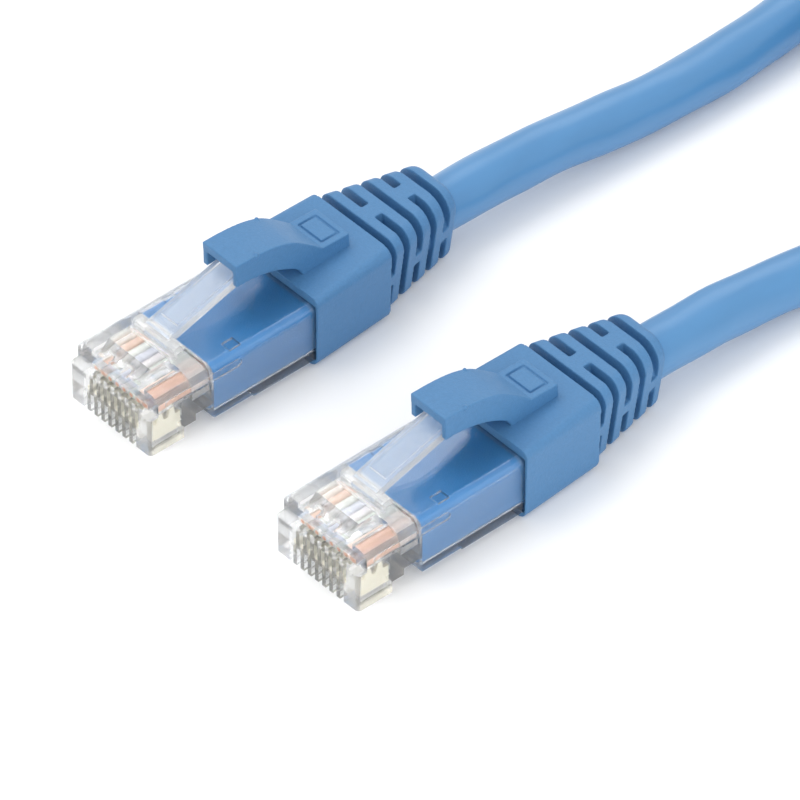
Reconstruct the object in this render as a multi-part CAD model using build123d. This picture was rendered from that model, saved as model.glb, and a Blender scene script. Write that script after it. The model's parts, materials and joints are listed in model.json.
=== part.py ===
from build123d import *
import math
import os

# An ethernet patch cable: two 8-contact modular plugs with moulded boots, one at each end of a
# round cable whose spare length is wound into a tied coil. Millimetres; +X runs along the plugs
# towards the cable, +Z is up and the floor is z = 0. Each end is drawn in its own plug frame:
# x back from the nose, y from the middle, z up from the underside of the plug.

# ---- Driving dimensions ----
# Plug housing
PLUG_WIDTH = 11.68
PLUG_LENGTH = 21.5
PLUG_HEIGHT = 6.6
NOSE_STEP = 1.1            # the lower nose stands this far ahead of the upper nose
NOSE_HEIGHT = 4.4          # height of the lower nose
TOP_ROUND = 1.1
WALL = 0.5
BLOCK_WIDTH = 6.0          # the raised block that carries the latch
BLOCK_TOP = 7.7
BLOCK_REAR = 5.5
CAVITY_FRONT = 8.2         # the moulded boot fills the housing from here back
CAVITY_LOW = 0.5
CAVITY_HIGH = 6.1

# Contacts and wires
PINS = 8
PITCH = 1.016
SLOT_WIDTH = 0.5
CONTACT_THICKNESS = 0.34
CONTACT_FRONT = 0.9
CONTACT_REAR = 4.7
CONTACT_LOW = 0.5          # the contacts sit this far inside the underside
WIRE_Z = 4.2
WIRE_DIA = 0.9
CORE_DIA = 0.5
WIRE_FRONT = 1.7
WIRE_SLACK = 0.03          # round the row of wires in the housing and the comb
WIRE_BEND = 0.6
CORE_SLACK = 0.01

# Latch
LATCH_PIVOT = (5.6, 7.25)  # x, z of the root
LATCH_ROOT_R = 0.45
LATCH_WIDTH = 3.3
LATCH_THICKNESS = 0.95
LATCH_KNEE = (6.8, 8.9)    # top of the arm where it leaves the neck
LATCH_TIP = (16.0, 11.6)   # top of the arm at its free end
PRESS_CLEARANCE = 0.05     # radial running clearance at both hinge roots
PRESS_FREE = 2.0           # degrees of free space past the end of the guard's travel

# Boot and its latch guard
BOOT_FRONT = 20.8
BOOT_REAR = 30.6
BOOT_LOW = -1.0
BOOT_FRONT_HIGH = 7.6
BOOT_REAR_HIGH = 8.1
BOOT_FRONT_WIDTH = 12.7
BOOT_REAR_WIDTH = 11.8
BOOT_DRAFT = 0.5           # the boot is this much narrower along its underside
RELIEF_END = 41.3
RELIEF_PITCH = 2.1
RELIEF_TOP_WIDTHS = (11.8, 7.8)       # at its two ends
RELIEF_BOTTOM_WIDTHS = (9.4, 5.0)
GROOVES = 5
GROOVE_WIDTH = 0.95
GROOVE_CORE_R = 3.2
HOOD_WIDTH = 4.9
HOOD_PIVOT = (21.9, 10.05)
HOOD_ROOT_R = 1.4
HOOD_SLOPE = 36.0          # degrees the guard falls at its root
HOOD_PRESS = 14.0          # degrees of travel
CHANNEL_WIDTH = 3.7        # the channel under the guard that the latch tip sits in

# Cable
CABLE_DIA = 5.6
JACKET_BORE = 4.6
CABLE_Z = 3.4              # cable axis above the underside of the plug
BUNDLE_FRONT = 17.0        # the wires have closed in to four pairs here
BOOT_SLACK = 0.04          # between the boot and the housing or the jacket inside it
JACKET_FRONT = 21.7        # the jacket stops just behind the housing

# Where the two ends lie
FLOOR_GAP = -BOOT_LOW
END_PLACES = {"a": (-20.9, 14.54), "b": (-20.4, -14.54)}

# Free cable: the route from each boot to the coil, then the coil itself
COIL_CENTRE = (97.0, -17.0)
COIL_RADIUS = 28.0         # at the middle of its turns
COIL_LIFT = 0.6            # the tie passes under the coil
COIL_LEAVE = 205.0         # degrees round the coil where end b's cable leaves it
COIL_FULL_TURNS = 4
ROUTE_A = [(20.4, 14.54, 4.4), (31.8, 14.54, 4.4), (45.8, 13.3, 3.0),
           (60.3, 13.0, 2.85), (77.0, 15.3, 3.1)]
ROUTE_B = [(20.9, -14.54, 4.4), (28.0, -14.54, 4.4), (39.8, -14.5, 2.9),
           (50.3, -17.5, 3.35), (59.3, -23.4, 5.5)]
TIE_WIDTH = 9.0
TIE_THICKNESS = 0.55


# ---- Shape helpers ----
def block(x0, x1, y0, y1, z0, z1):
    """A box between the given corners."""
    low = (Align.MIN, Align.MIN, Align.MIN)
    return Pos(x0, y0, z0) * Box(x1 - x0, y1 - y0, z1 - z0, align=low)


def across(outline, width):
    """A solid with the given x-z outline, as wide as width across y."""
    face = make_face(Polyline(*outline, close=True))
    return extrude(Plane.XZ * face, amount=width / 2, both=True)


def cross_bar(x, z, radius, width):
    """A round bar across y."""
    return Pos(x, 0, z) * Rot(90, 0, 0) * Cylinder(radius, width)


def section(x, width, low, high, corner):
    """A rounded rectangle standing across the cable's direction."""
    plane = Plane(origin=(x, 0, (low + high) / 2), x_dir=(0, 1, 0), z_dir=(1, 0, 0))
    return plane * RectangleRounded(width, high - low, corner)


def tapered_section(x, widths, low, high, corners):
    """Like section, but widths and corners are pairs: at the top, then along the underside."""
    top = widths[0] / 2
    bottom = widths[1] / 2
    face = make_face(Polyline((-bottom, low), (bottom, low), (top, high), (-top, high), close=True))
    face = fillet(face.vertices().group_by(Axis.Y)[-1], corners[0])
    face = fillet(face.vertices().group_by(Axis.Y)[0], corners[1])
    return Plane(origin=(x, 0, 0), x_dir=(0, 1, 0), z_dir=(1, 0, 0)) * face


def rod(points, radius, bore=0.0, bends=None):
    """A round rod or pipe along straight runs joined by arcs."""
    path = FilletPolyline(*points, radius=bends) if bends else Polyline(*points)
    start = Plane(origin=path @ 0, z_dir=path % 0)
    ring = Circle(radius) - Circle(bore) if bore else Circle(radius)
    return sweep(start * ring, path)


def pin_y(pin):
    """Contact 1 is on the +Y side."""
    return ((PINS + 1) / 2 - pin) * PITCH


# ---- Plug housing ----
def housing_shell():
    half = PLUG_WIDTH / 2
    body = block(NOSE_STEP, PLUG_LENGTH, -half, half, 0, PLUG_HEIGHT)
    top_edges = body.edges().filter_by(Axis.X).group_by(Axis.Z)[-1]
    body = fillet(top_edges, TOP_ROUND)
    nose = block(0, NOSE_STEP + 0.5, -half, half, 0, NOSE_HEIGHT)
    nose = fillet(nose.edges().filter_by(Axis.Z).group_by(Axis.X)[0], 0.5)
    latch_block = across([(NOSE_STEP, 5.0), (NOSE_STEP, 6.2), (2.6, BLOCK_TOP),
                          (BLOCK_REAR, BLOCK_TOP), (BLOCK_REAR, 5.0)], BLOCK_WIDTH)
    return body + nose + latch_block


def housing_outer_cuts():
    half = PLUG_WIDTH / 2
    wide = PLUG_WIDTH + 2
    cuts = [across([(4.25, -1), (4.25, 1.3), (5.7, 1.3), (5.7, 2.1), (8.0, 2.1), (8.0, -1)], wide)]
    cuts.append(block(8.0, 13.0, -half - 1, half + 1, -1, 0.25))
    pivot_x, pivot_z = LATCH_PIVOT
    cuts.append(cross_bar(pivot_x, pivot_z, LATCH_ROOT_R + PRESS_CLEARANCE, BLOCK_WIDTH + 0.2))
    for side in (-1, 1):
        # Groove beside the latch block, pocket in the top, and a long shallow recess in the wall
        cuts.append(Pos(3.2, side * 3.4, 6.9) * Box(4.6, 0.8, 2.0))
        cuts.append(Pos(11.5, side * 4.3, 6.6) * Box(1.4, 1.2, 0.6))
        wall_plane = Plane(origin=(6.8, side * half, 5.3), x_dir=(1, 0, 0), z_dir=(0, side, 0))
        cuts.append(extrude(wall_plane * SlotOverall(9.6, 0.9), amount=-0.2))
    for y in (1.8, -0.8):
        cuts.append(Pos(1.6, y, 6.6) * Box(1.3, 0.9, 0.7))
    return cuts


def housing_inner_cuts():
    cuts = []
    for pin in range(1, PINS + 1):
        y = pin_y(pin)
        gap = SLOT_WIDTH / 2
        cuts.append(block(-1, CONTACT_FRONT, y - gap, y + gap, -1, 2.2))
        cuts.append(block(CONTACT_FRONT - 0.1, CONTACT_REAR + 0.1, y - gap, y + gap, -1, 4.0))
    wire_room = PINS * PITCH / 2
    reach = WIRE_DIA / 2 + WIRE_SLACK
    cuts.append(block(WIRE_FRONT - 0.1, CAVITY_FRONT + 0.1, -wire_room, wire_room,
                      WIRE_Z - reach, WIRE_Z + reach))
    cuts.append(block(5.9, CAVITY_FRONT + 0.1, -4.4, 4.4, 3.2, 5.2))
    cavity = section(CAVITY_FRONT, PLUG_WIDTH - 2 * WALL, CAVITY_LOW, CAVITY_HIGH, 0.8)
    cuts.append(extrude(cavity, amount=PLUG_LENGTH))
    return cuts


def plug_housing():
    return housing_shell() - housing_outer_cuts() - housing_inner_cuts()


def load_bar():
    """The comb that keeps the wires in order."""
    bar = block(6.0, 8.1, -4.35, 4.35, 3.25, 5.15)
    wire_room = PINS * PITCH / 2
    reach = WIRE_DIA / 2 + WIRE_SLACK
    return bar - block(5, 9, -wire_room, wire_room, WIRE_Z - reach, WIRE_Z + reach)


# ---- Latch ----
def latch_top(x):
    """Height of the arm's top face."""
    rise = (LATCH_TIP[1] - LATCH_KNEE[1]) / (LATCH_TIP[0] - LATCH_KNEE[0])
    return LATCH_KNEE[1] + rise * (x - LATCH_KNEE[0])


def latch():
    pivot_x, pivot_z = LATCH_PIVOT
    tip_x, tip_z = LATCH_TIP
    under = -LATCH_THICKNESS
    arm = across([(5.57, pivot_z), (5.57, 8.2), (6.0, 8.6), LATCH_KNEE, LATCH_TIP,
                  (tip_x + 0.15, tip_z + under), (7.2, latch_top(7.2) + under),
                  (6.35, 7.7), (6.0, pivot_z)], LATCH_WIDTH)
    shoulders = across([(5.57, 7.76), (5.57, 8.2), (5.85, 8.45), (6.6, 8.45), (6.85, 8.2), (6.85, 7.76)],
                       BLOCK_WIDTH)
    root = cross_bar(pivot_x, pivot_z, LATCH_ROOT_R, BLOCK_WIDTH)
    neck = across([(5.57, pivot_z), (5.57, 7.9), (6.02, 7.9), (6.02, pivot_z)], BLOCK_WIDTH)
    groove = across([(7.6, latch_top(7.6) - 0.15), (7.6, 12), (15.4, 14), (15.4, latch_top(15.4) - 0.15)], 2.3)
    return arm + shoulders + root + neck - groove


# ---- Contacts and wires ----
def contact(pin):
    """A blade with a rounded front corner and two teeth that reach the wire."""
    teeth_z = WIRE_Z - WIRE_DIA / 2
    base = block(CONTACT_FRONT, CONTACT_REAR, -1, 1, CONTACT_LOW, 2.5)
    front = base.edges().filter_by(Axis.Y).group_by(Axis.X)[0].group_by(Axis.Z)[0]
    base = fillet(front, 0.9)
    for middle in (2.2, 3.6):
        tooth = [(middle - 0.5, 2.4), (middle - 0.16, teeth_z), (middle + 0.16, teeth_z), (middle + 0.5, 2.4)]
        base += across(tooth, 2)
    blade = base & Box(60, CONTACT_THICKNESS, 60)
    return Pos(0, pin_y(pin), 0) * blade


def wire_points(pin):
    """Through the comb in a row, then closing in to four pairs inside the jacket."""
    y = pin_y(pin)
    near, far = 0.75, 1.45
    spread = {1: (far, -near), 2: (near, -far), 3: (far, near), 4: (near, far)}
    side = 1 if pin <= PINS / 2 else -1
    across_y, up = spread[pin if side > 0 else PINS + 1 - pin]
    points = [(WIRE_FRONT, y, WIRE_Z), (8.6, y, WIRE_Z)]
    if up < 0:
        points.append((10.2, y - side * 0.1, WIRE_Z - 1.1))
    points.append((BUNDLE_FRONT, side * across_y, CABLE_Z + up))
    points.append((RELIEF_END - 0.2, side * across_y, CABLE_Z + up))
    return points


def wire(pin):
    points = wire_points(pin)
    return rod(points, WIRE_DIA / 2, CORE_DIA / 2 + CORE_SLACK, [WIRE_BEND] * (len(points) - 2))


def conductor(pin):
    points = wire_points(pin)
    return rod(points, CORE_DIA / 2, 0.0, [WIRE_BEND] * (len(points) - 2))


# ---- Cable inside the boot ----
def jacket_end():
    axis = [(JACKET_FRONT, 0, CABLE_Z), (RELIEF_END, 0, CABLE_Z)]
    return rod(axis, CABLE_DIA / 2, JACKET_BORE / 2)


def pair_separator():
    """The cross-shaped spline between the four pairs."""
    start = JACKET_FRONT + 0.5
    reach = JACKET_BORE / 2 - 0.1
    upright = block(start, RELIEF_END, -0.2, 0.2, CABLE_Z - reach, CABLE_Z + reach)
    level = block(start, RELIEF_END, -reach, reach, CABLE_Z - 0.2, CABLE_Z + 0.2)
    return upright + level


# ---- Boot ----
def hood_outline():
    """The whole guard seen from the side, from its free tip to the pad on the boot."""
    top = Spline((13.9, 13.6), (16.7, 13.5), (19.0, 13.15), (21.0, 12.45), (22.85, 11.2), (24.8, 9.6))
    under = Spline((14.0, 10.9), (16.0, 10.85), (18.3, 10.35), (20.1, 9.6), (21.7, 8.6), (22.5, 7.4))
    edges = [top, Line(top @ 1, (28.15, 9.5)), Line((28.15, 9.5), (28.3, 7.4)),
             Line((28.3, 7.4), under @ 1), under, Line(under @ 0, top @ 0)]
    return make_face(edges)


def hood_solid():
    return extrude(Plane.XZ * hood_outline(), amount=HOOD_WIDTH / 2, both=True)


def ahead_of_root(turn):
    """Everything on the tip's side of the guard's root, with the guard pressed by turn degrees."""
    pivot_x, pivot_z = HOOD_PIVOT
    reach = 30
    place = Pos(pivot_x, 0, pivot_z) * Rot(0, HOOD_SLOPE - turn, 0)
    return place * Pos(-reach / 2, 0, 0) * Box(reach, 20, reach)


def boot_hood():
    """The free part of the latch guard, ending in a round root."""
    pivot_x, pivot_z = HOOD_PIVOT
    whole = hood_solid()
    free = (whole & ahead_of_root(0)) + (whole & cross_bar(pivot_x, pivot_z, HOOD_ROOT_R, HOOD_WIDTH))
    channel = across([(12, 9), (12, 12.6), (14.6, 12.55), (15.7, 11.85), (18.9, 11.4), (19.9, 10.4), (19.9, 9)],
                     CHANNEL_WIDTH)
    return free - channel


def hood_root():
    """The fixed part of the guard, with a socket round the free part's root, and the pad."""
    pivot_x, pivot_z = HOOD_PIVOT
    socket = cross_bar(pivot_x, pivot_z, HOOD_ROOT_R + PRESS_CLEARANCE, HOOD_WIDTH + 1)
    root = hood_solid() - ahead_of_root(0) - ahead_of_root(HOOD_PRESS + PRESS_FREE) - socket
    frame = Rectangle(2.3, 3.4) - Rectangle(1.95, 3.05)
    return root - extrude(Pos(26.4, 0, 9.35) * frame, amount=1)


def boot_body():
    """Tapered to the relief, then planed off flat underneath."""
    low = BOOT_LOW - 0.05
    front_widths = (BOOT_FRONT_WIDTH, BOOT_FRONT_WIDTH - BOOT_DRAFT)
    rear_widths = (BOOT_REAR_WIDTH, BOOT_REAR_WIDTH - BOOT_DRAFT)
    front = tapered_section(BOOT_FRONT, front_widths, low, BOOT_FRONT_HIGH, (0.8, 1.2))
    rear = tapered_section(BOOT_REAR, rear_widths, low, BOOT_REAR_HIGH, (1.1, 1.6))
    body = loft([front, rear]) - block(0, 50, -10, 10, BOOT_LOW - 2, BOOT_LOW)
    lift = across([(28.6, BOOT_LOW - 1), (28.6, BOOT_LOW), (29.8, BOOT_LOW + 0.2),
                   (BOOT_REAR + 1, BOOT_LOW + 0.8), (BOOT_REAR + 1, BOOT_LOW - 1)], 20)
    return body - lift


def bend_relief():
    """Ribs round a core, shrinking towards the cable; each groove is bridged on alternate sides."""
    near_widths = (RELIEF_TOP_WIDTHS[0], RELIEF_BOTTOM_WIDTHS[0])
    far_widths = (RELIEF_TOP_WIDTHS[1], RELIEF_BOTTOM_WIDTHS[1])
    low = BOOT_LOW + 0.05
    near = tapered_section(BOOT_REAR - 0.01, near_widths, low, BOOT_REAR_HIGH - 0.1, (1.4, 1.1))
    far = tapered_section(RELIEF_END, far_widths, low, CABLE_Z + 4.5, (2.4, 1.3))
    relief = loft([near, far])
    relief = fillet(relief.faces().sort_by(Axis.X)[-1].edges(), 0.95)
    core = Pos(0, 0, CABLE_Z) * Rot(0, 90, 0) * Cylinder(GROOVE_CORE_R, 200)
    side_bridge = Pos(0, 0, CABLE_Z - 0.1) * Box(200, 20, 1.3)
    top_bridge = Box(200, 1.9, 60)
    for groove in range(GROOVES):
        x = BOOT_REAR + RELIEF_PITCH * groove
        ring = block(x, x + GROOVE_WIDTH, -10, 10, -5, 12)
        bridge = side_bridge if groove % 2 == 0 else top_bridge
        relief -= ring - core - bridge
    return relief


def tongue(front, rear):
    """The part of the boot that fills the housing's cavity."""
    width = PLUG_WIDTH - 2 * (WALL + BOOT_SLACK)
    face = section(front, width, CAVITY_LOW + BOOT_SLACK, CAVITY_HIGH - BOOT_SLACK, 0.76)
    return extrude(face, amount=rear - front)


def boot():
    solid = boot_body() + bend_relief() + hood_root() + tongue(CAVITY_FRONT + 0.1, BOOT_FRONT + 0.1)
    half = PLUG_WIDTH / 2 + BOOT_SLACK
    collar = block(BOOT_FRONT - 1, PLUG_LENGTH + BOOT_SLACK, -half, half, -0.2, PLUG_HEIGHT + BOOT_SLACK)
    socket = collar - tongue(BOOT_FRONT - 2, PLUG_LENGTH + 1)
    wire_room = block(CAVITY_FRONT, BUNDLE_FRONT, -4.2, 4.2, 1.4, 5.4)
    wire_room += block(BUNDLE_FRONT - 1, JACKET_FRONT, -2.3, 2.3, 1.4, 5.4)
    bore = Pos(0, 0, CABLE_Z) * Rot(0, 90, 0) * Cylinder(CABLE_DIA / 2 + BOOT_SLACK, 200)
    bore = bore & block(JACKET_FRONT - 0.01, 60, -6, 6, -2, 9)
    return solid - socket - wire_room - bore


# ---- Free cable ----
def coil_turning():
    """Degrees of turning from where end a's cable joins the coil to where end b's leaves."""
    return 90 - (COIL_LEAVE - 360 * (COIL_FULL_TURNS + 1))


def coil_rims():
    """Inner and outer radius at the middle of the cable; half the turns lie on each of two layers."""
    half_width = CABLE_DIA * coil_turning() / 2 / 360 / 2
    return COIL_RADIUS - half_width, COIL_RADIUS + half_width


def coil_point(angle, layer):
    """A point on the outermost turn of a layer, 0 below and 1 above."""
    rim = coil_rims()[1]
    turn = math.radians(angle)
    height = COIL_LIFT + CABLE_DIA * (0.5 + layer)
    return (COIL_CENTRE[0] + rim * math.cos(turn), COIL_CENTRE[1] + rim * math.sin(turn), height)


def bend_radii(points):
    """The largest arc that the two runs beside each corner leave room for."""
    radii = []
    for before, corner, after in zip(points, points[1:], points[2:]):
        run_in = Vector(*corner) - Vector(*before)
        run_out = Vector(*after) - Vector(*corner)
        half_turn = math.radians(run_in.get_angle(run_out) / 2)
        radii.append(0.45 * min(run_in.length, run_out.length) / math.tan(half_turn))
    return radii


def cable_run(name, points):
    radii = bend_radii(points)
    path = FilletPolyline(*points, radius=radii)
    tube = rod(points, CABLE_DIA / 2, 0.0, radii)
    expected = math.pi * CABLE_DIA ** 2 / 4 * path.length
    print(name, "bend radii", [round(r, 1) for r in radii], "length", round(path.length, 1),
          "volume ratio", round(tube.volume / expected, 4))
    return tube


def cable_coil():
    """The outer shape of the tied coil."""
    inner, outer = coil_rims()
    width = outer - inner + CABLE_DIA
    height = 2 * CABLE_DIA
    outline = RectangleRounded(width, height, CABLE_DIA * 0.45)
    ring = Plane.XZ * Pos(COIL_RADIUS, COIL_LIFT + height / 2) * outline
    return Pos(COIL_CENTRE[0], COIL_CENTRE[1], 0) * revolve(ring, Axis.Z)


def cable_tie():
    """A flat strap once round the coil's turns, wide enough inside for their curve in plan."""
    inner, outer = coil_rims()
    slack = 0.05
    curve_slack = 0.6
    low_x = inner - CABLE_DIA / 2 - curve_slack
    high_x = outer + CABLE_DIA / 2 + slack
    width = high_x - low_x
    height = 2 * CABLE_DIA + 2 * slack
    middle = Pos(COIL_CENTRE[0] + (low_x + high_x) / 2, COIL_LIFT + CABLE_DIA)
    skin = 2 * TIE_THICKNESS
    strap = RectangleRounded(width + skin, height + skin, 2.0) - RectangleRounded(width, height, 1.45)
    return Pos(0, COIL_CENTRE[1], 0) * extrude(Plane.XZ * middle * strap, amount=TIE_WIDTH / 2, both=True)


# ---- Assembly ----
def end_parts(end):
    """Every piece at one end, in the plug frame, by node name."""
    parts = {
        f"plug_housing_{end}": plug_housing(),
        f"latch_{end}": latch(),
        f"load_bar_{end}": load_bar(),
        f"jacket_end_{end}": jacket_end(),
        f"pair_separator_{end}": pair_separator(),
        f"boot_{end}": boot(),
        f"boot_hood_{end}": boot_hood(),
        f"conductors_{end}": Compound([conductor(pin) for pin in range(1, PINS + 1)]),
    }
    for pin in range(1, PINS + 1):
        parts[f"contact_{pin}_{end}"] = contact(pin)
        parts[f"wire_{pin}_{end}"] = wire(pin)
    return parts


def main():
    os.makedirs("parts", exist_ok=True)
    for end, (x, y) in END_PLACES.items():
        for name, solid in end_parts(end).items():
            export_step(Pos(x, y, FLOOR_GAP) * solid, f"parts/{name}.step")
    cable = {
        "cable_run_a": cable_run("cable_run_a", ROUTE_A + [coil_point(90, 0)]),
        "cable_run_b": cable_run("cable_run_b", ROUTE_B + [coil_point(COIL_LEAVE, 1)]),
        "cable_coil": cable_coil(),
        "cable_tie": cable_tie(),
    }
    for name, solid in cable.items():
        export_step(solid, f"parts/{name}.step")


main()
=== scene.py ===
import json
import math

import bmesh
import bpy
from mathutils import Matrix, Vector, noise


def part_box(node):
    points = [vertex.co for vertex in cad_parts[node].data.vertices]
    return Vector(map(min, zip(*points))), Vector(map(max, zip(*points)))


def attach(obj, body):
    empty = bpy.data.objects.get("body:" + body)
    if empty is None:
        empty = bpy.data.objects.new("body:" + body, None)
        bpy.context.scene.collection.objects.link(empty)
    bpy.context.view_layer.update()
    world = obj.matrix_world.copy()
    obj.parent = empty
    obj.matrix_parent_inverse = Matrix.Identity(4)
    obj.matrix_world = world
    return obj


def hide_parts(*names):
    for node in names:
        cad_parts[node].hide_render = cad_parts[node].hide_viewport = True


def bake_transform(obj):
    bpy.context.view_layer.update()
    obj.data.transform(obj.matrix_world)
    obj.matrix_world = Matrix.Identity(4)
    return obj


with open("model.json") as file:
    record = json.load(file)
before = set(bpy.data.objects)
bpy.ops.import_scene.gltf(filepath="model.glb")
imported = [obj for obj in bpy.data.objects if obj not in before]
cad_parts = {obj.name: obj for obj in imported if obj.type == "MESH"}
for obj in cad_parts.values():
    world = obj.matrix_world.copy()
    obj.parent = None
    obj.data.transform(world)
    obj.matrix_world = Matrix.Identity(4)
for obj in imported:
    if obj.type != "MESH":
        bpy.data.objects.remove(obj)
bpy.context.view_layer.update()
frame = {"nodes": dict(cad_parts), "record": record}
NODES = frame["nodes"]
ENDS = ("a", "b")
MM = 0.001

# The camera looks down on the noses from the left, and frames this width of the floor
VIEW_AZIMUTH = math.radians(-41.7)
VIEW_ELEVATION = math.radians(42.3)
VIEW_TARGET = Vector((2.72, -0.29, 0.15)) * MM
VIEW_WIDTH = 76.2 * MM
LENS = 500.0
SENSOR = 36.0
FLOOR_HALF_SIZE = 6.0

# The cable in millimetres, along the route of the frame's own solids
CABLE_DIA = 5.6
CABLE_STEP = 1.1
CABLE_SIDES = 28
PAIR_LAY = 15.0            # how far the twisted pairs under the jacket take to turn once
SECOND_LAY = 8.5
DENT_SIZE = 5.0
ROUTE_A = [(20.4, 14.54, 4.4), (31.8, 14.54, 4.4), (45.8, 13.3, 3.0),
           (60.3, 13.0, 2.85), (77.0, 15.3, 3.1)]
ROUTE_B = [(20.9, -14.54, 4.4), (28.0, -14.54, 4.4), (39.8, -14.5, 2.9),
           (50.3, -17.5, 3.35), (59.3, -23.4, 5.5)]
COIL_RADIUS = 28.0
COIL_LIFT = 0.6
COIL_JOIN = 90.0
COIL_LEAVE = 205.0
COIL_FULL_TURNS = 4
COIL_STEPS = 16            # control points in each turn
COIL_CLIMB = 70.0          # degrees over which the cable climbs to the upper layer

# Plug frame: millimetres back from the nose, across, and up from the housing's underside
BOOT_FRONT = 20.8
BOOT_REAR = 30.6
BOOT_TOP_FRONT = 7.6
BOOT_TOP_REAR = 8.1
HOOD_WIDTH = 4.9
CHANNEL_WIDTH = 3.7
LATCH_WIDTH = 3.3
LATCH_RIM = 0.5            # along each side of the arm's trough
SHOULDER_WIDTH = 6.0
SEAM = 0.002               # vertices this close are one

# The strap round the coil, in millimetres
TIE_WIDTH = 9.0
TIE_THICKNESS = 0.55
TIE_CORNER = 2.6
TIE_CELLS = 12             # faces across the strap
TIE_RISE = 0.93            # share of the turn after which the tail climbs on to the start
TIE_TAIL_ROWS = 6          # rows over which the tail narrows
TIE_TAIL_NARROWING = 0.35

# Millimetres of rounding on the hard edges of what the frame shows, by material slot
EDGE_ROUNDING = {"clear_plastic": 0.1, "gold_contact": 0.03, "comb_plastic": 0.05}


def place_of(end):
    """Where a plug frame's origin lies."""
    low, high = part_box(f"plug_housing_{end}")
    return Vector((low.x, (low.y + high.y) / 2, low.z))


def at(end, x, y, z):
    """A point of a plug frame, in metres."""
    return place_of(end) + Vector((x, y, z)) * MM


# ---- Mesh tools ----
def add_object(name, mesh):
    obj = bpy.data.objects.new(name, mesh)
    bpy.context.scene.collection.objects.link(obj)
    return obj


def from_bmesh(name, bm):
    bmesh.ops.recalc_face_normals(bm, faces=bm.faces)
    mesh = bpy.data.meshes.new(name)
    bm.to_mesh(mesh)
    bm.free()
    return add_object(name, mesh)


def bridge(bm, row, following, closed=True):
    """Faces between two rows of vertices, which are loops if closed."""
    count = len(row)
    for i in range(count if closed else count - 1):
        j = (i + 1) % count
        bm.faces.new((row[i], row[j], following[j], following[i]))


def evaluated_mesh(obj):
    """A new mesh of what the object's modifiers or curve settings make."""
    bpy.context.view_layer.update()
    depsgraph = bpy.context.evaluated_depsgraph_get()
    return bpy.data.meshes.new_from_object(obj.evaluated_get(depsgraph))


def apply_modifiers(obj):
    mesh = evaluated_mesh(obj)
    obj.modifiers.clear()
    old = obj.data
    obj.data = mesh
    bpy.data.meshes.remove(old)
    return obj


def shade_smooth(obj, angle=None):
    mesh = obj.data
    mesh.polygons.foreach_set("use_smooth", [True] * len(mesh.polygons))
    if angle is not None:
        mesh.set_sharp_from_angle(angle=math.radians(angle))


def smooth_line(points, steps=8):
    """A curve through the given points (Catmull-Rom)."""
    points = [Vector(p) for p in points]
    ends = [points[0] * 2 - points[1]] + points + [points[-1] * 2 - points[-2]]
    line = []
    for p0, p1, p2, p3 in zip(ends, ends[1:], ends[2:], ends[3:]):
        for step in range(steps):
            t = step / steps
            line.append(0.5 * (2 * p1 + (p2 - p0) * t + (2 * p0 - 5 * p1 + 4 * p2 - p3) * t ** 2
                               + (3 * p1 - p0 - 3 * p2 + p3) * t ** 3))
    return line + [points[-1]]


def prism(name, end, outline, width):
    """A solid with an x-z outline in the plug frame, centred across it."""
    bm = bmesh.new()
    near, far = ([bm.verts.new(at(end, x, y, z)) for x, z in outline]
                 for y in (-width / 2, width / 2))
    bm.faces.new(near)
    bm.faces.new(far)
    bridge(bm, near, far)
    return from_bmesh(name, bm)


def combine(obj, other, operation):
    """Cuts the other solid away from this one, or unites them."""
    modifier = obj.modifiers.new("combine", "BOOLEAN")
    modifier.operation = operation
    modifier.solver = "EXACT"
    modifier.object = other
    apply_modifiers(obj)
    bpy.data.objects.remove(other)
    return obj


def join(obj, other):
    """Puts the other mesh into this one as it is, for mould() to merge."""
    bm = bmesh.new()
    bm.from_mesh(obj.data)
    bm.from_mesh(other.data)
    bm.to_mesh(obj.data)
    bm.free()
    bpy.data.objects.remove(other)
    return obj


def mould(obj, voxel, keep, rounding=2):
    """Rounds every edge a little, as a soft moulding has them, and keeps this share of faces."""
    remesh = obj.modifiers.new("voxels", "REMESH")
    remesh.mode = "VOXEL"
    remesh.voxel_size = voxel * MM
    remesh.use_smooth_shade = True
    smooth = obj.modifiers.new("round", "SMOOTH")
    smooth.factor = 0.5
    smooth.iterations = rounding
    thin = obj.modifiers.new("thin", "DECIMATE")
    thin.ratio = keep
    apply_modifiers(obj)
    shade_smooth(obj)
    return obj


def soften_edges(obj, width, segments=2):
    """Bevels a solid's hard edges by modifiers, so a mesh of the frame stays as it came."""
    weld = obj.modifiers.new("weld", "WELD")
    weld.merge_threshold = SEAM * MM
    flat = obj.modifiers.new("flat", "DECIMATE")
    flat.decimate_type = "DISSOLVE"
    flat.angle_limit = math.radians(2.0)
    bevel = obj.modifiers.new("bevel", "BEVEL")
    bevel.width = width * MM
    bevel.segments = segments
    bevel.limit_method = "ANGLE"
    bevel.angle_limit = math.radians(35.0)
    bevel.harden_normals = False
    return obj


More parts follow.
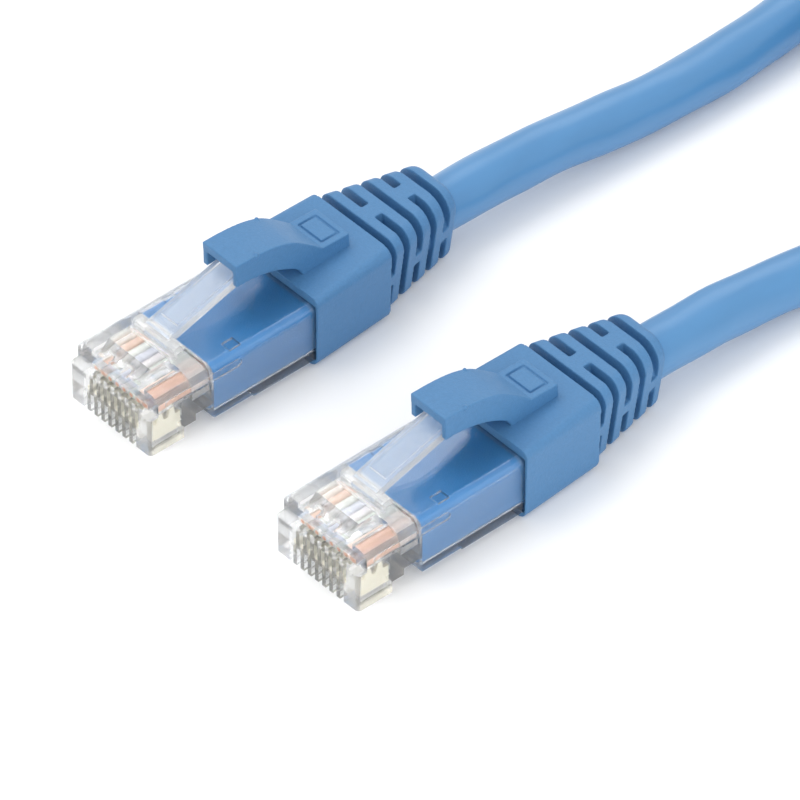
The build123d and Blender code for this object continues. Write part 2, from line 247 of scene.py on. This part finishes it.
# ---- Materials ----
class Finish:
    """A Principled material with its noise in the object's own coordinates."""

    def __init__(self, name, color, roughness, **inputs):
        self.material = bpy.data.materials.new(name)
        self.material.use_nodes = True
        tree = self.material.node_tree
        self.nodes = tree.nodes
        self.links = tree.links
        self.shader = self.nodes["Principled BSDF"]
        self.coordinates = self.nodes.new("ShaderNodeTexCoord")
        self.color = color
        self.roughness = roughness
        self.shader.inputs["Base Color"].default_value = (*color, 1)
        self.shader.inputs["Roughness"].default_value = roughness
        for socket, value in inputs.items():
            self.shader.inputs[socket.replace("_", " ")].default_value = value
        self.height = None

    def noise(self, size, detail=3.0, stretch=(1, 1, 1)):
        """Noise whose grain is size millimetres."""
        mapping = self.nodes.new("ShaderNodeMapping")
        mapping.inputs["Scale"].default_value = stretch
        texture = self.nodes.new("ShaderNodeTexNoise")
        texture.inputs["Scale"].default_value = 1 / (size * MM)
        texture.inputs["Detail"].default_value = detail
        self.links.new(self.coordinates.outputs["Object"], mapping.inputs["Vector"])
        self.links.new(mapping.outputs["Vector"], texture.inputs["Vector"])
        return texture.outputs["Fac"]

    def ramp(self, source, low, high, start=0.12, stop=0.88):
        ramp = self.nodes.new("ShaderNodeValToRGB")
        ramp.color_ramp.elements[0].position = start
        ramp.color_ramp.elements[1].position = stop
        ramp.color_ramp.elements[0].color = (*low, 1)
        ramp.color_ramp.elements[1].color = (*high, 1)
        self.links.new(source, ramp.inputs["Fac"])
        return ramp.outputs["Color"]

    def mottle(self, size, amount, detail=3.0, stretch=(1, 1, 1)):
        """Varies the colour by a share of itself."""
        low = [c * (1 - amount) for c in self.color]
        high = [min(1.0, c * (1 + amount)) for c in self.color]
        color = self.ramp(self.noise(size, detail, stretch), low, high)
        self.links.new(color, self.shader.inputs["Base Color"])
        return self

    def uneven_gloss(self, size, amount, detail=3.0):
        spread = self.nodes.new("ShaderNodeMapRange")
        spread.inputs["To Min"].default_value = self.roughness - amount
        spread.inputs["To Max"].default_value = self.roughness + amount
        self.links.new(self.noise(size, detail), spread.inputs["Value"])
        self.links.new(spread.outputs["Result"], self.shader.inputs["Roughness"])
        return self

    def bump(self, source, depth):
        """Adds relief of this depth in millimetres."""
        bump = self.nodes.new("ShaderNodeBump")
        bump.inputs["Distance"].default_value = depth * MM
        self.links.new(source, bump.inputs["Height"])
        if self.height is not None:
            self.links.new(self.height, bump.inputs["Normal"])
        self.height = bump.outputs["Normal"]
        self.links.new(self.height, self.shader.inputs["Normal"])
        return self

    def grain(self, size, depth, detail=2.0, stretch=(1, 1, 1)):
        return self.bump(self.noise(size, detail, stretch), depth)


def boot_plastic(name="boot_plastic"):
    finish = Finish(name, (0.068, 0.203, 0.405), 0.5, Specular_IOR_Level=0.45)
    finish.mottle(0.3, 0.09, 4.0).uneven_gloss(1.5, 0.06)
    return finish.grain(0.16, 0.045).grain(2.5, 0.015)


def boot_with_painted_tongue_shade(end):
    """Boot plastic with painted shade on the tongue: a deeper blue, set by position, stands in
    for the hood's shade and the look through the clear plug.
    """
    finish = boot_plastic(f"boot_plastic_{end}")
    front = at(end, BOOT_FRONT, 0, 0).x
    tree = finish.nodes
    place = tree.new("ShaderNodeSeparateXYZ")
    finish.links.new(finish.coordinates.outputs["Object"], place.inputs["Vector"])
    painted_shade_mask = tree.new("ShaderNodeMapRange")
    painted_shade_mask.inputs["From Min"].default_value = front - 0.25 * MM
    painted_shade_mask.inputs["From Max"].default_value = front - 0.1 * MM
    finish.links.new(place.outputs["X"], painted_shade_mask.inputs["Value"])
    unshaded_color = finish.shader.inputs["Base Color"].links[0].from_socket
    # Painted shade: in front of the boot's front face the tongue takes the deeper blue, standing
    # in for the hood's shade and the look through the clear plug
    mix = tree.new("ShaderNodeMix")
    mix.data_type = "RGBA"
    mix.inputs["A"].default_value = (*TONGUE_PAINTED_SHADE_COLOR, 1)
    finish.links.new(painted_shade_mask.outputs["Result"], mix.inputs["Factor"])
    finish.links.new(unshaded_color, mix.inputs["B"])
    finish.links.new(mix.outputs["Result"], finish.shader.inputs["Base Color"])
    return finish


def jacket_plastic():
    finish = Finish("jacket", (0.073, 0.238, 0.475), 0.33, Specular_IOR_Level=0.7)
    finish.mottle(2.5, 0.06, 3.0, (0.35, 1, 1)).uneven_gloss(2.0, 0.04, 3.0)
    return finish.grain(1.6, 0.012, 1.0).grain(4.0, 0.12, 1.0, (0.6, 1, 1))


def clear_plastic(name, tint, roughness, clearness, bent):
    """Clear plastic: it bends this share of what shows through, and casts almost no shadow."""
    finish = Finish(name, tint, roughness, IOR=1.45, Transmission_Weight=clearness, Alpha=bent,
                    Specular_IOR_Level=0.25)
    finish.mottle(3.0, 0.02).uneven_gloss(1.2, 0.02).grain(2.6, 0.03, 2.0, (0.25, 1, 1))
    path = finish.nodes.new("ShaderNodeLightPath")
    passing = finish.nodes.new("ShaderNodeBsdfTransparent")
    passing.inputs["Color"].default_value = (*[0.97 * c for c in tint], 1)
    mix = finish.nodes.new("ShaderNodeMixShader")
    finish.links.new(path.outputs["Is Shadow Ray"], mix.inputs[0])
    finish.links.new(finish.shader.outputs["BSDF"], mix.inputs[1])
    finish.links.new(passing.outputs["BSDF"], mix.inputs[2])
    finish.links.new(mix.outputs["Shader"], finish.nodes["Material Output"].inputs["Surface"])
    return finish


def wire_plastic(name, color):
    return Finish(name, color, 0.35).mottle(1.2, 0.08, 3.0, (0.2, 1, 1)).grain(0.4, 0.01)


def metal(name, color, roughness, share=1.0):
    finish = Finish(name, color, roughness, Metallic=share)
    return finish.mottle(0.8, 0.06).uneven_gloss(0.5, 0.05).grain(0.25, 0.006, 3.0, (0.15, 1, 1))


def tie_fabric():
    finish = Finish("tie_fabric", (0.018, 0.02, 0.026), 0.85, Sheen_Weight=0.5)
    finish.shader.inputs["Sheen Roughness"].default_value = 0.5
    return finish.mottle(0.25, 0.5, 4.0).grain(0.22, 0.16, 4.0).grain(0.6, 0.12)


def separator_plastic():
    return Finish("separator_plastic", (0.8, 0.8, 0.76), 0.5).mottle(1.0, 0.04).grain(0.3, 0.01)


# Painted shade: the tongue's deeper blue stands in for the shade under the hood and the look
# through the clear plug, not the plastic's own colour
TONGUE_PAINTED_SHADE_COLOR = (0.018, 0.192, 0.47)
# Wire colours: the insulation's own hues, made paler and greyer with painted light that stands in
# for the milky veil of the clear plug in front of them
WIRE_COLORS = {
    "wire_white_orange": (0.89, 0.83, 0.76), "wire_orange": (0.86, 0.60, 0.47),
    "wire_white_green": (0.84, 0.86, 0.80), "wire_blue": (0.68, 0.70, 0.78),
    "wire_white_blue": (0.86, 0.81, 0.81), "wire_green": (0.68, 0.73, 0.66),
    "wire_white_brown": (0.88, 0.70, 0.60), "wire_brown": (0.76, 0.46, 0.34)}


def make_finishes():
    finishes = {
        "clear_plastic": clear_plastic("clear_plastic", (0.975, 0.985, 1.0), 0.04, 0.99, 0.8),
        "latch_plastic": clear_plastic("latch_plastic", (0.94, 0.945, 0.94), 0.1, 0.82, 0.85),
        "comb_plastic": clear_plastic("comb_plastic", (0.95, 0.95, 0.94), 0.2, 0.7, 0.85),
        "gold_contact": metal("gold_contact", (0.98, 0.91, 0.73), 0.4, 0.4),
        "copper": metal("copper", (0.78, 0.36, 0.2), 0.3),
        "jacket": jacket_plastic(),
        "boot_plastic": boot_plastic(),
        # boot_a and boot_b carry the painted shade on the tongue
        "boot_a": boot_with_painted_tongue_shade("a"),
        "boot_b": boot_with_painted_tongue_shade("b"),
        "separator_plastic": separator_plastic(),
        "tie_fabric": tie_fabric(),
    }
    for name, color in WIRE_COLORS.items():
        finishes[name] = wire_plastic(name, color)
    return {name: finish.material for name, finish in finishes.items()}


def dress(obj, slot, finish=None):
    """Gives a new piece the finish of its slot, or the named finish."""
    obj.data.materials.clear()
    obj.data.materials.append(FINISHES[finish or slot])


def dress_frame_nodes():
    """Gives every node of the frame its slot's finish, and rounds the edges of some."""
    for subpart in frame["record"]["subparts"]:
        obj = NODES[subpart["node"]]
        slot = subpart["material_slot"]
        for holder in obj.material_slots:
            holder.material = FINISHES[slot]
        if slot in EDGE_ROUNDING:
            soften_edges(obj, EDGE_ROUNDING[slot])


# ---- Camera, floor and light ----
def direction(azimuth, elevation):
    """Towards where something at this azimuth and elevation stands."""
    level = math.cos(elevation)
    return Vector((math.sin(azimuth) * level, -math.cos(azimuth) * level, math.sin(elevation)))


def add_camera():
    data = bpy.data.cameras.new("camera")
    data.lens = LENS
    data.sensor_width = SENSOR
    data.clip_end = 20
    camera = bpy.data.objects.new("camera", data)
    bpy.context.scene.collection.objects.link(camera)
    back = direction(VIEW_AZIMUTH, VIEW_ELEVATION)
    camera.location = VIEW_TARGET + back * (VIEW_WIDTH * LENS / SENSOR)
    camera.rotation_euler = (-back).to_track_quat("-Z", "Y").to_euler()
    bpy.context.scene.camera = camera


def add_floor():
    bm = bmesh.new()
    bmesh.ops.create_grid(bm, x_segments=2, y_segments=2, size=FLOOR_HALF_SIZE)
    floor = from_bmesh("floor", bm)
    finish = Finish("floor", (0.97, 0.97, 0.97), 0.6)
    floor.data.materials.append(finish.material)


def add_light(name, azimuth, elevation, distance, size, power):
    data = bpy.data.lights.new(name, "AREA")
    data.shape = "SQUARE"
    data.size = size
    data.energy = power
    lamp = bpy.data.objects.new(name, data)
    bpy.context.scene.collection.objects.link(lamp)
    away = direction(math.radians(azimuth), math.radians(elevation))
    lamp.location = away * distance
    lamp.rotation_euler = (-away).to_track_quat("-Z", "Y").to_euler()
    lamp.visible_camera = False


def add_lights():
    add_light("key", -150, 65, 1.0, 0.6, 3.0)
    add_light("fill", -15, 30, 1.2, 0.9, 4.0)
    add_light("rim", 120, 40, 1.2, 0.6, 1.5)
    world = bpy.data.worlds.new("studio")
    bpy.context.scene.world = world
    world.use_nodes = True
    background = world.node_tree.nodes["Background"]
    background.inputs["Color"].default_value = (1, 1, 1, 1)
    background.inputs["Strength"].default_value = 0.9
    bpy.context.scene.view_settings.view_transform = "Standard"


# ---- The cable ----
def coil_centre():
    low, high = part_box("cable_coil")
    return (low.x + high.x) / 2 / MM, (low.y + high.y) / 2 / MM


def coil_points():
    """Control points of a two-layer coil: inwards on the lower layer, outwards on the upper."""
    centre_x, centre_y = coil_centre()
    turning = COIL_JOIN - (COIL_LEAVE - 360 * (COIL_FULL_TURNS + 1))
    half = turning / 2
    outer = COIL_RADIUS + CABLE_DIA * half / 720
    low_z = COIL_LIFT + CABLE_DIA / 2
    # Control points of a quadratic spline stand a little outside the circle that it draws
    stand_out = 0.75 + 0.25 * math.cos(2 * math.pi / COIL_STEPS)
    count = round(turning / 360 * COIL_STEPS)
    points = []
    for step in range(count + 1):
        turned = turning * step / count
        radius = outer - CABLE_DIA * min(turned, turning - turned) / 360
        climb = min(max((turned - half) / COIL_CLIMB + 0.5, 0), 1)
        z = low_z + CABLE_DIA * climb * climb * (3 - 2 * climb)
        angle = math.radians(COIL_JOIN - turned)
        reach = radius / stand_out
        points.append((centre_x + reach * math.cos(angle), centre_y + reach * math.sin(angle), z))
    return points


def cable_line():
    """Points along the smooth curve that the whole free cable follows."""
    control = ROUTE_A + coil_points() + ROUTE_B[::-1]
    data = bpy.data.curves.new("cable_line", "CURVE")
    data.dimensions = "3D"
    data.resolution_u = 24
    spline = data.splines.new("NURBS")
    spline.points.add(len(control) - 1)
    for point, place in zip(spline.points, control):
        point.co = (*(Vector(place) * MM), 1)
    spline.order_u = 3
    spline.use_endpoint_u = True
    curve = add_object("cable_line", data)
    mesh = evaluated_mesh(curve)
    line = [vertex.co.copy() for vertex in mesh.vertices]
    bpy.data.objects.remove(curve)
    bpy.data.meshes.remove(mesh)
    return line


def evenly(line, step):
    """The same line at even steps, and the distance along it of each point."""
    lengths = [0.0]
    for before, after in zip(line, line[1:]):
        lengths.append(lengths[-1] + (after - before).length)
    count = round(lengths[-1] / step)
    points = []
    places = []
    segment = 0
    for i in range(count + 1):
        place = lengths[-1] * i / count
        while segment < len(line) - 2 and lengths[segment + 1] < place:
            segment += 1
        span = lengths[segment + 1] - lengths[segment]
        points.append(line[segment].lerp(line[segment + 1], (place - lengths[segment]) / span))
        places.append(place)
    return points, places


def lump(place, angle):
    """How far the jacket stands out, in millimetres: it shows the pairs twisted under it."""
    s = place / MM
    twist = 2 * math.pi * s / PAIR_LAY
    counter = 2 * math.pi * s / SECOND_LAY
    pairs = 0.045 * math.sin(2 * angle - twist) + 0.03 * math.sin(3 * angle + counter)
    dents = 0.07 * noise.noise(Vector((s / DENT_SIZE, math.cos(angle), math.sin(angle))))
    return pairs + dents


def make_cable():
    """The free cable in one piece, from one boot through the coil to the other."""
    line = cable_line()
    points, places = evenly(line, CABLE_STEP * MM)
    bm = bmesh.new()
    rings = []
    normal = Vector((0, 0, 1))
    last = len(points) - 1
    for i, point in enumerate(points):
        tangent = (points[min(i + 1, last)] - points[max(i - 1, 0)]).normalized()
        normal = (normal - tangent * normal.dot(tangent)).normalized()
        side = tangent.cross(normal)
        ring = []
        for k in range(CABLE_SIDES):
            angle = 2 * math.pi * k / CABLE_SIDES
            radius = (CABLE_DIA / 2 + lump(places[i], angle)) * MM
            outward = normal * math.cos(angle) + side * math.sin(angle)
            ring.append(bm.verts.new(point + outward * radius))
        rings.append(ring)
    for ring, following in zip(rings, rings[1:]):
        bridge(bm, ring, following)
    bm.faces.new(rings[0])
    bm.faces.new(rings[-1])
    cable = from_bmesh("cable", bm)
    shade_smooth(cable, 50)
    dress(cable, "jacket")
    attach(cable, "cable")
    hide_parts("cable_run_a", "cable_run_b", "cable_coil")
    return cable, line


def rounded_rectangle(half_width, half_height, corner, per_corner=8, per_side=6):
    """Points round a rounded rectangle, from the middle of its top, clockwise."""
    loop = []
    centres = [(1, 1, 90), (1, -1, 0), (-1, -1, -90), (-1, 1, -180)]
    for side_x, side_y, start in centres:
        middle = Vector((side_x * (half_width - corner), side_y * (half_height - corner)))
        for i in range(per_corner + 1):
            angle = math.radians(start - 90 * i / per_corner)
            loop.append(middle + corner * Vector((math.cos(angle), math.sin(angle))))
    full = []
    for before, after in zip(loop, loop[1:] + loop[:1]):
        full.append(before)
        if (after - before).length > corner:
            full += [before.lerp(after, i / per_side) for i in range(1, per_side)]
    return full


def make_tie():
    """A hook-and-loop strap once round the turns, its tail lapped over its start."""
    low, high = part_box("cable_tie")
    middle = (low + high) / 2
    half_width = (high.x - low.x) / 2 / MM - TIE_THICKNESS / 2
    half_height = (high.z - low.z) / 2 / MM - TIE_THICKNESS / 2
    loop = rounded_rectangle(half_width, half_height, TIE_CORNER)
    lap = len(loop) // 4
    bm = bmesh.new()
    rows = []
    for i in range(len(loop) + lap):
        flat = loop[i % len(loop)]
        turns = i / len(loop)
        lift = TIE_THICKNESS * 1.05 * min(max((turns - TIE_RISE) / 0.07, 0), 1)
        outward = Vector((flat.x / half_width, flat.y / half_height)).normalized()
        tail = max(i - len(loop) - lap + TIE_TAIL_ROWS, 0) / TIE_TAIL_ROWS
        width = TIE_WIDTH / 2 * (1 - TIE_TAIL_NARROWING * tail ** 2)
        row = []
        for k in range(TIE_CELLS + 1):
            t = k / TIE_CELLS * 2 - 1
            wander = 0.12 * noise.noise(Vector((i * 0.35, t * 3, 2.0)))
            spot = flat + outward * (lift + wander * 0.5)
            edge = 0.1 * noise.noise(Vector((i * 1.3, t, 9.0)))
            row.append(bm.verts.new(middle + Vector((spot.x, t * width + edge, spot.y)) * MM))
        rows.append(row)
    for row, following in zip(rows, rows[1:]):
        bridge(bm, row, following, closed=False)
    tie = from_bmesh("strap_tie", bm)
    skin = tie.modifiers.new("thickness", "SOLIDIFY")
    skin.thickness = TIE_THICKNESS * MM
    skin.offset = 0
    rounding = tie.modifiers.new("rounding", "SUBSURF")
    rounding.levels = 1
    rounding.render_levels = 1
    apply_modifiers(tie)
    shade_smooth(tie)
    dress(tie, "tie_fabric")
    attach(tie, "cable")
    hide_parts("cable_tie")
    return tie


# ---- The boot and its latch guard ----
def make_boot(end):
    """The boot as moulded, with the guard's root taken off above its top face."""
    boot = add_object(f"moulded_boot_{end}", NODES[f"boot_{end}"].data.copy())
    bm = bmesh.new()
    bm.from_mesh(boot.data)
    bmesh.ops.remove_doubles(bm, verts=bm.verts, dist=SEAM * MM)
    rise = BOOT_TOP_REAR - BOOT_TOP_FRONT
    run = BOOT_REAR - BOOT_FRONT
    cut = bmesh.ops.bisect_plane(bm, geom=list(bm.verts) + list(bm.edges) + list(bm.faces),
                                 plane_co=at(end, BOOT_FRONT, 0, BOOT_TOP_FRONT + 2 * SEAM),
                                 plane_no=Vector((-rise, 0, run)).normalized(), clear_outer=True)
    edges = [item for item in cut["geom_cut"] if isinstance(item, bmesh.types.BMEdge)]
    bmesh.ops.holes_fill(bm, edges=edges)
    bm.to_mesh(boot.data)
    bm.free()
    mould(boot, voxel=0.1, keep=0.3)
    dress(boot, "boot_plastic", f"boot_{end}")
    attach(boot, "cable")
    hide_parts(f"boot_{end}")
    return boot


def nub(name, centre, radius):
    bm = bmesh.new()
    bmesh.ops.create_icosphere(bm, subdivisions=2, radius=radius * MM)
    bmesh.ops.translate(bm, verts=bm.verts, vec=centre)
    return from_bmesh(name, bm)


def engraved_frame(end):
    """The rectangular line cut into the pad."""
    bm = bmesh.new()
    x_mid, half_x, half_y, line = 26.4, 1.2, 1.75, 0.25
    bottom, above_pad = 9.3, 10.2
    corners = [(-1, -1), (1, -1), (1, 1), (-1, 1)]
    rings = []
    for inset in (0.0, line):
        for z in (bottom, above_pad):
            rings.append([bm.verts.new(at(end, x_mid + side_x * (half_x - inset),
                                          side_y * (half_y - inset), z))
                          for side_x, side_y in corners])
    outer_low, outer_high, inner_low, inner_high = rings
    for first, second in ((outer_low, outer_high), (inner_low, inner_high),
                          (outer_low, inner_low), (outer_high, inner_high)):
        bridge(bm, first, second)
    return from_bmesh("engraving", bm)


def make_hood(end):
    """The arched guard over the latch, in one piece with its pad."""
    top = smooth_line([(13.9, 13.6), (16.7, 13.5), (19.0, 13.15), (21.0, 12.45), (22.85, 11.2),
                       (24.8, 9.6)])
    under = smooth_line([(22.5, 7.3), (21.7, 8.6), (20.1, 9.6), (18.3, 10.35), (16.0, 10.85),
                         (14.0, 10.9)])
    outline = [tuple(p) for p in top] + [(28.15, 9.5), (28.3, 7.3)] + [tuple(p) for p in under]
    hood = prism(f"latch_guard_{end}", end, outline, HOOD_WIDTH)
    channel = [(12, 9), (12, 12.6), (14.6, 12.55), (15.7, 11.85), (18.9, 11.4), (19.9, 10.4),
               (19.9, 9)]
    combine(hood, prism("channel", end, channel, CHANNEL_WIDTH), "DIFFERENCE")
    combine(hood, engraved_frame(end), "DIFFERENCE")
    join(hood, nub("nub", at(end, 16.5, -HOOD_WIDTH / 2 + 0.12, 13.45), 0.3))
    join(hood, nub("nub", at(end, 20.6, HOOD_WIDTH / 2 - 0.15, 12.6), 0.22))
    mould(hood, voxel=0.085, keep=0.4)
    dress(hood, "boot_plastic")
    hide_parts(f"boot_hood_{end}")
    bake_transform(hood)
    return hood


# ---- The latch ----
def make_latch(end):
    """The springy clear arm, with a rim along each side and wide shoulders at its root."""
    arm = [(5.57, 7.25), (5.57, 8.2), (6.0, 8.6), (6.8, 8.9), (16.0, 11.6), (16.15, 10.65),
           (7.2, 8.07), (6.35, 7.7), (6.0, 7.25)]
    latch = prism(f"latch_arm_{end}", end, arm, LATCH_WIDTH)
    shoulders = [(5.57, 7.7), (5.57, 8.2), (5.85, 8.45), (6.6, 8.45), (6.85, 8.2), (6.85, 7.7)]
    combine(latch, prism("shoulders", end, shoulders, SHOULDER_WIDTH), "UNION")
    trough = [(7.6, 8.93), (7.6, 12.0), (15.4, 14.0), (15.4, 11.22)]
    combine(latch, prism("trough", end, trough, LATCH_WIDTH - 2 * LATCH_RIM), "DIFFERENCE")
    neck = [(5.57, 7.0), (5.57, 7.9), (6.02, 7.9), (6.02, 7.0)]
    combine(latch, prism("neck", end, neck, SHOULDER_WIDTH - 0.2), "UNION")
    soften_edges(latch, 0.09, 3)
    apply_modifiers(latch)
    dress(latch, "latch_plastic")
    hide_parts(f"latch_{end}")
    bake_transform(latch)
    return latch


# ---- Assembly ----
FINISHES = make_finishes()
add_camera()
cable, line = make_cable()
add_floor()
add_lights()
dress_frame_nodes()
tie = make_tie()
for end in ENDS:
    make_boot(end)
    make_hood(end)
    make_latch(end)
